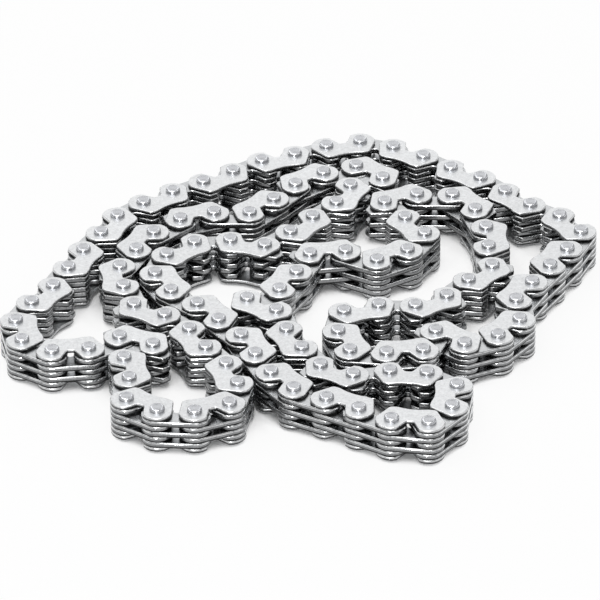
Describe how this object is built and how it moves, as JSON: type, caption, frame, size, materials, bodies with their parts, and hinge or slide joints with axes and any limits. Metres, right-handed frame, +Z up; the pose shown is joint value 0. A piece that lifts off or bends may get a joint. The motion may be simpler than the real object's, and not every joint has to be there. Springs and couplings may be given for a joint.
{
  "type": "cam chain",
  "caption": "Closed inverted-tooth cam chain of laced steel plates on straight pressed pins, folded up and lying on its side.",
  "frame": {"origin": "centre of the lower end face of a pin in the middle strand, on the surface the chain lies on", "axes": "+Z up along the pins; +X to the viewer's right and +Y away from the viewer, as the chain lies in the picture"},
  "size_m": [0.1048, 0.0972, 0.0082],
  "materials": {
    "pins": "satin, ground ends",
    "guide_plates": "satin, finely tumbled",
    "toothed_plates": "satin, finely tumbled"
  },
  "bodies": {
    "left_end": {"left_end_pins": "pins", "left_end_guide_plates": "guide_plates", "left_end_toothed_plates": "toothed_plates"},
    "left_link": {"left_link_toothed_plates": "toothed_plates"},
    "front_left_loop": {"front_left_loop_pins": "pins", "front_left_loop_guide_plates": "guide_plates", "front_left_loop_toothed_plates": "toothed_plates"},
    "inner_left_link": {"inner_left_link_toothed_plates": "toothed_plates"},
    "middle_strand": {"middle_strand_pins": "pins", "middle_strand_guide_plates": "guide_plates", "middle_strand_toothed_plates": "toothed_plates"},
    "middle_fold_link": {"middle_fold_link_toothed_plates": "toothed_plates"},
    "inner_turn": {"inner_turn_pins": "pins", "inner_turn_guide_plates": "guide_plates", "inner_turn_toothed_plates": "toothed_plates"},
    "front_middle_link": {"front_middle_link_toothed_plates": "toothed_plates"},
    "front_right_loop": {"front_right_loop_pins": "pins", "front_right_loop_guide_plates": "guide_plates", "front_right_loop_toothed_plates": "toothed_plates"},
    "front_right_link": {"front_right_link_pins": "pins", "front_right_link_guide_plates": "guide_plates", "front_right_link_toothed_plates": "toothed_plates"},
    "centre_fold": {"centre_fold_pins": "pins", "centre_fold_guide_plates": "guide_plates", "centre_fold_toothed_plates": "toothed_plates"},
    "upper_right_link": {"upper_right_link_pins": "pins", "upper_right_link_guide_plates": "guide_plates", "upper_right_link_toothed_plates": "toothed_plates"},
    "right_inner_arc": {"right_inner_arc_pins": "pins", "right_inner_arc_guide_plates": "guide_plates", "right_inner_arc_toothed_plates": "toothed_plates"},
    "centre_right_link": {"centre_right_link_toothed_plates": "toothed_plates"},
    "right_hairpin": {"right_hairpin_pins": "pins", "right_hairpin_guide_plates": "guide_plates", "right_hairpin_toothed_plates": "toothed_plates"},
    "lower_right_link": {"lower_right_link_pins": "pins", "lower_right_link_guide_plates": "guide_plates", "lower_right_link_toothed_plates": "toothed_plates"},
    "right_fold_link": {"right_fold_link_toothed_plates": "toothed_plates"},
    "outer_right_link": {"outer_right_link_pins": "pins", "outer_right_link_guide_plates": "guide_plates", "outer_right_link_toothed_plates": "toothed_plates"},
    "right_end": {"right_end_pins": "pins", "right_end_guide_plates": "guide_plates", "right_end_toothed_plates": "toothed_plates"},
    "rear_right_link": {"rear_right_link_toothed_plates": "toothed_plates"},
    "rear_strand": {"rear_strand_pins": "pins", "rear_strand_guide_plates": "guide_plates", "rear_strand_toothed_plates": "toothed_plates"},
    "rear_link": {"rear_link_toothed_plates": "toothed_plates"},
    "rear_left_strand": {"rear_left_strand_pins": "pins", "rear_left_strand_guide_plates": "guide_plates", "rear_left_strand_toothed_plates": "toothed_plates"},
    "rear_left_link": {"rear_left_link_pins": "pins", "rear_left_link_guide_plates": "guide_plates", "rear_left_link_toothed_plates": "toothed_plates"}
  },
  "joints": [
    {"name": "middle_fold_link_hinge", "type": "hinge", "parent": "middle_strand", "child": "middle_fold_link", "pos_m": [0.02396, 0.0115, 0], "axis": [0, 0, 1], "range_deg": [0, 30]},
    {"name": "inner_turn_hinge", "type": "hinge", "parent": "middle_fold_link", "child": "inner_turn", "pos_m": [0.01811, 0.00902, 0], "axis": [0, 0, 1], "range_deg": [-30, 0]},
    {"name": "front_middle_link_hinge", "type": "hinge", "parent": "inner_turn", "child": "front_middle_link", "pos_m": [0.00762, -0.05658, 0], "axis": [0, 0, 1], "range_deg": [-28, 0]},
    {"name": "front_right_loop_hinge", "type": "hinge", "parent": "front_middle_link", "child": "front_right_loop", "pos_m": [0.01317, -0.05965, 0], "axis": [0, 0, 1], "range_deg": [0, 28]},
    {"name": "front_right_link_hinge", "type": "hinge", "parent": "front_right_loop", "child": "front_right_link", "pos_m": [0.01779, -0.05258, 0], "axis": [0, 0, 1], "range_deg": [-28, 0]},
    {"name": "centre_fold_hinge", "type": "hinge", "parent": "front_right_link", "child": "centre_fold", "pos_m": [0.01224, -0.0495, 0], "axis": [0, 0, 1], "range_deg": [0, 28]},
    {"name": "upper_right_link_hinge", "type": "hinge", "parent": "centre_fold", "child": "upper_right_link", "pos_m": [0.02417, 0.00323, 0], "axis": [0, 0, 1], "range_deg": [0, 30]},
    {"name": "right_inner_arc_hinge", "type": "hinge", "parent": "upper_right_link", "child": "right_inner_arc", "pos_m": [0.03001, 0.00571, 0], "axis": [0, 0, 1], "range_deg": [-30, 0]},
    {"name": "centre_right_link_hinge", "type": "hinge", "parent": "right_inner_arc", "child": "centre_right_link", "pos_m": [0.03835, -0.02295, 0], "axis": [0, 0, 1], "range_deg": [-20, 0]},
    {"name": "right_hairpin_hinge", "type": "hinge", "parent": "centre_right_link", "child": "right_hairpin", "pos_m": [0.03444, -0.02795, 0], "axis": [0, 0, 1], "range_deg": [0, 20]},
    {"name": "lower_right_link_hinge", "type": "hinge", "parent": "right_hairpin", "child": "lower_right_link", "pos_m": [0.0322, -0.03914, 0], "axis": [0, 0, 1], "range_deg": [0, 45]},
    {"name": "right_fold_link_hinge", "type": "hinge", "parent": "lower_right_link", "child": "right_fold_link", "pos_m": [0.03706, -0.04322, 0], "axis": [0, 0, 1], "range_deg": [-45, 0]},
    {"name": "inner_left_link_hinge", "type": "hinge", "parent": "middle_strand", "child": "inner_left_link", "pos_m": [-0.01998, -0.01178, 0], "axis": [0, 0, 1], "range_deg": [-35, 0]},
    {"name": "front_left_loop_hinge", "type": "hinge", "parent": "inner_left_link", "child": "front_left_loop", "pos_m": [-0.02276, -0.01749, 0], "axis": [0, 0, 1], "range_deg": [0, 35]},
    {"name": "left_link_hinge", "type": "hinge", "parent": "front_left_loop", "child": "left_link", "pos_m": [-0.02231, -0.04001, 0], "axis": [0, 0, 1], "range_deg": [-60, 0]},
    {"name": "left_end_hinge", "type": "hinge", "parent": "left_link", "child": "left_end", "pos_m": [-0.02751, -0.04365, 0], "axis": [0, 0, 1], "range_deg": [0, 60]},
    {"name": "rear_left_link_hinge", "type": "hinge", "parent": "left_end", "child": "rear_left_link", "pos_m": [-0.02634, -0.00621, 0], "axis": [0, 0, 1], "range_deg": [-35, 0]},
    {"name": "rear_left_strand_hinge", "type": "hinge", "parent": "rear_left_link", "child": "rear_left_strand", "pos_m": [-0.02356, -0.00051, 0], "axis": [0, 0, 1], "range_deg": [0, 35]},
    {"name": "rear_link_hinge", "type": "hinge", "parent": "rear_left_strand", "child": "rear_link", "pos_m": [-0.00302, 0.01428, 0], "axis": [0, 0, 1], "range_deg": [-60, 0]},
    {"name": "rear_strand_hinge", "type": "hinge", "parent": "rear_link", "child": "rear_strand", "pos_m": [0.00218, 0.01792, 0], "axis": [0, 0, 1], "range_deg": [0, 60]},
    {"name": "rear_right_link_hinge", "type": "hinge", "parent": "rear_strand", "child": "rear_right_link", "pos_m": [0.03145, 0.01888, 0], "axis": [0, 0, 1], "range_deg": [0, 45]},
    {"name": "right_end_hinge", "type": "hinge", "parent": "rear_right_link", "child": "right_end", "pos_m": [0.03632, 0.0148, 0], "axis": [0, 0, 1], "range_deg": [-45, 0]},
    {"name": "outer_right_link_hinge", "type": "hinge", "parent": "right_end", "child": "outer_right_link", "pos_m": [0.04682, -0.03573, 0], "axis": [0, 0, 1], "range_deg": [-20, 0]}
  ],
  "couplings": [
    {"joint": "inner_turn_hinge", "follows": "middle_fold_link_hinge", "ratio": -1},
    {"joint": "front_right_loop_hinge", "follows": "front_middle_link_hinge", "ratio": -1},
    {"joint": "front_right_link_hinge", "follows": "front_middle_link_hinge", "ratio": 1},
    {"joint": "centre_fold_hinge", "follows": "front_middle_link_hinge", "ratio": -1},
    {"joint": "upper_right_link_hinge", "follows": "middle_fold_link_hinge", "ratio": 1},
    {"joint": "right_inner_arc_hinge", "follows": "middle_fold_link_hinge", "ratio": -1},
    {"joint": "right_hairpin_hinge", "follows": "centre_right_link_hinge", "ratio": -1},
    {"joint": "right_fold_link_hinge", "follows": "lower_right_link_hinge", "ratio": -1},
    {"joint": "front_left_loop_hinge", "follows": "inner_left_link_hinge", "ratio": -1},
    {"joint": "left_link_hinge", "follows": "left_end_hinge", "ratio": -1},
    {"joint": "rear_left_link_hinge", "follows": "inner_left_link_hinge", "ratio": 1},
    {"joint": "rear_left_strand_hinge", "follows": "inner_left_link_hinge", "ratio": -1},
    {"joint": "rear_link_hinge", "follows": "left_end_hinge", "ratio": -1},
    {"joint": "rear_strand_hinge", "follows": "left_end_hinge", "ratio": 1},
    {"joint": "rear_right_link_hinge", "follows": "lower_right_link_hinge", "ratio": 1},
    {"joint": "right_end_hinge", "follows": "lower_right_link_hinge", "ratio": -1},
    {"joint": "outer_right_link_hinge", "follows": "centre_right_link_hinge", "ratio": 1}
  ]
}
